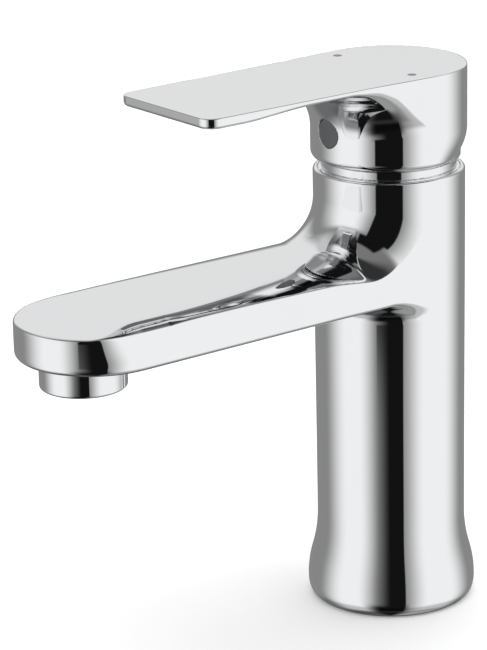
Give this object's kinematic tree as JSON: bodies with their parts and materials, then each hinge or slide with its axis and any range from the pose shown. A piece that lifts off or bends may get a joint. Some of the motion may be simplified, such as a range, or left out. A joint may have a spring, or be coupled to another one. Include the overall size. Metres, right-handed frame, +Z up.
{
  "type": "single-lever basin mixer",
  "caption": "Chrome basin mixer: round column with flared foot, flat straight spout with round tip and aerator, and a flat plate lever on a round skirt over a ceramic-disc cartridge.",
  "frame": {"origin": "centre of the foot, on the surface that the mixer stands on", "axes": "+Z up along the column; the spout and the closed lever point along -Y; the cold side is +X and the hot side is -X"},
  "size_m": [0.0518, 0.1583, 0.1688],
  "materials": {
    "chrome_plate": "mirror-polished chrome plating on brass",
    "raw_brass": "machined brass",
    "bright_steel": "bright stainless steel",
    "seal_rubber": "black nitrile rubber",
    "disc_ceramic": "lapped alumina",
    "white_plastic": "moulded acetal",
    "pale_plastic": "moulded acetal",
    "blue_plastic": "moulded acetal",
    "red_plastic": "moulded acetal",
    "grey_plastic": "smooth grey plug, slightly glossy",
    "hot_enamel": "grey-red enamel fill",
    "cold_enamel": "grey-blue enamel fill"
  },
  "bodies": {
    "body": {"body_casting": "chrome_plate", "base_gasket": "seal_rubber", "cartridge_base": "white_plastic", "port_seals": "seal_rubber", "disc_seals": "seal_rubber", "fixed_disc": "disc_ceramic", "cartridge_housing": "white_plastic", "limiter_ring": "red_plastic", "retaining_nut": "raw_brass", "cap_ring": "chrome_plate", "cap_ring_seal": "seal_rubber", "aerator_housing": "chrome_plate", "aerator_washer": "seal_rubber", "aerator_screen": "bright_steel", "aerator_insert": "pale_plastic"},
    "rotor_body": {"rotor": "red_plastic", "stem_pin": "bright_steel"},
    "disc_body": {"moving_disc": "disc_ceramic", "disc_carrier": "blue_plastic"},
    "lever": {"lever_handle": "chrome_plate", "stem": "raw_brass", "grub_screw": "bright_steel", "screw_plug": "grey_plastic", "hot_mark": "hot_enamel", "cold_mark": "cold_enamel"}
  },
  "joints": [
    {"name": "temperature_swivel", "type": "hinge", "parent": "body", "child": "rotor_body", "pos_m": [0, 0, 0.124], "axis": [0, 0, 1], "range_deg": [-50, 50]},
    {"name": "lever_tilt", "type": "hinge", "parent": "rotor_body", "child": "lever", "pos_m": [0, 0, 0.124], "axis": [-1, 0, 0], "range_deg": [0, 25]},
    {"name": "disc_slide", "type": "slide", "parent": "rotor_body", "child": "disc_body", "axis": [0, -1, 0], "range_m": [0, 0.0034]}
  ],
  "couplings": [
    {"joint": "disc_slide", "follows": "lever_tilt", "m_per_rad": 0.0072}
  ]
}
